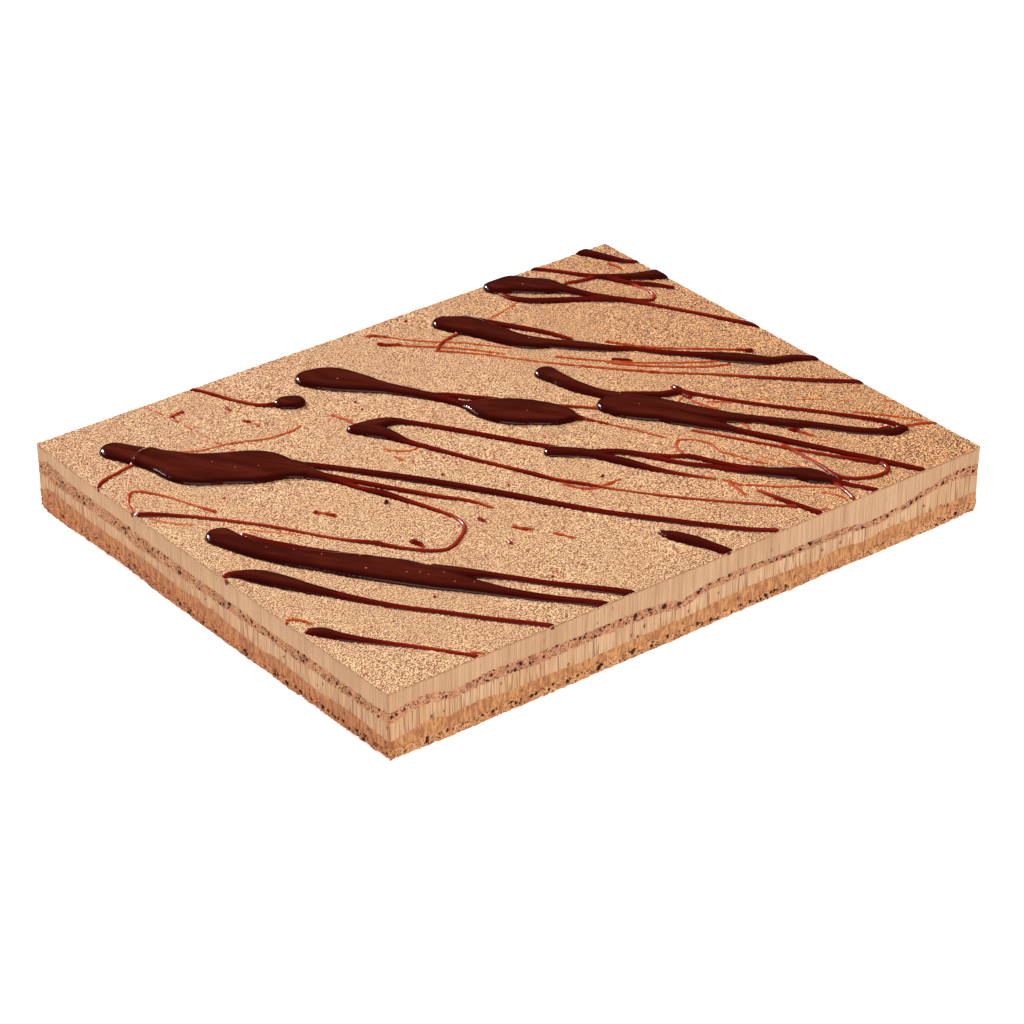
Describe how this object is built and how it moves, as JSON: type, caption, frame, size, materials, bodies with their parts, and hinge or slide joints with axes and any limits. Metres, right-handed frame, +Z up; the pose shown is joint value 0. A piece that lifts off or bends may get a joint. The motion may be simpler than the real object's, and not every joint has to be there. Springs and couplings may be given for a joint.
{
  "type": "chocolate crunch entremet",
  "caption": "Cut sheet of layered mousse cake with sponge, praline crunch and chocolate drizzled over a velvet top; rests on its flat underside.",
  "frame": {"origin": "middle of the underside, on the surface the cake rests on", "axes": "+X along the long cut side, +Y along the short cut side away from the long near side, +Z up"},
  "size_m": [0.375, 0.3, 0.0405],
  "materials": {
    "velvet_mousse": "sprayed velvet, fine matt grain over smooth knife-cut mousse",
    "chocolate": "glossy melted dark chocolate, redder where it is thin",
    "thin_sponge": "matt open crumb with small dark holes",
    "lower_mousse": "satin knife-cut mousse with upright cut marks",
    "praline": "dense crunchy praline, smeared by the knife",
    "base_crumb": "matt coarse crumb with dark holes and a torn lower edge"
  },
  "bodies": {
    "root": {"mousse_top": "velvet_mousse", "sponge_mid": "thin_sponge", "mousse_lower": "lower_mousse", "praline_crunch": "praline", "base_sponge": "base_crumb"}
  },
  "joints": []
}
